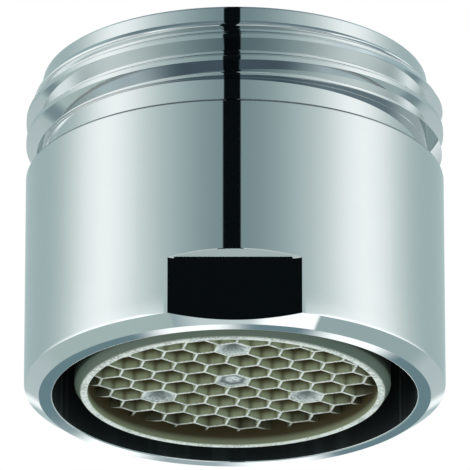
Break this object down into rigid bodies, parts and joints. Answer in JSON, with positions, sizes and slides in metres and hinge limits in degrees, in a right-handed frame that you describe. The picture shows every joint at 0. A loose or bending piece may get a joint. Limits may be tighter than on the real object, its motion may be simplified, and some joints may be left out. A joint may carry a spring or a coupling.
{
  "type": "tap aerator",
  "caption": "Short round tap aerator with a male thread, two spanner flats and a honeycomb outlet that mixes air into the water.",
  "frame": {"origin": "on the axis, in the plane of the outlet rim that the part stands on", "axes": "+Z along the axis from the outlet towards the thread, -Y out of the front spanner flat"},
  "size_m": [0.0178, 0.0178, 0.015],
  "materials": {
    "chrome": "polished",
    "outlet_plastic": "satin",
    "inner_plastic": "satin",
    "filter_plastic": "satin",
    "rubber": "matt"
  },
  "bodies": {
    "root": {"housing": "chrome", "insert_sleeve": "outlet_plastic", "mixing_grid": "inner_plastic", "jet_plate": "inner_plastic", "filter_cap": "filter_plastic", "sealing_washer": "rubber"}
  },
  "joints": []
}
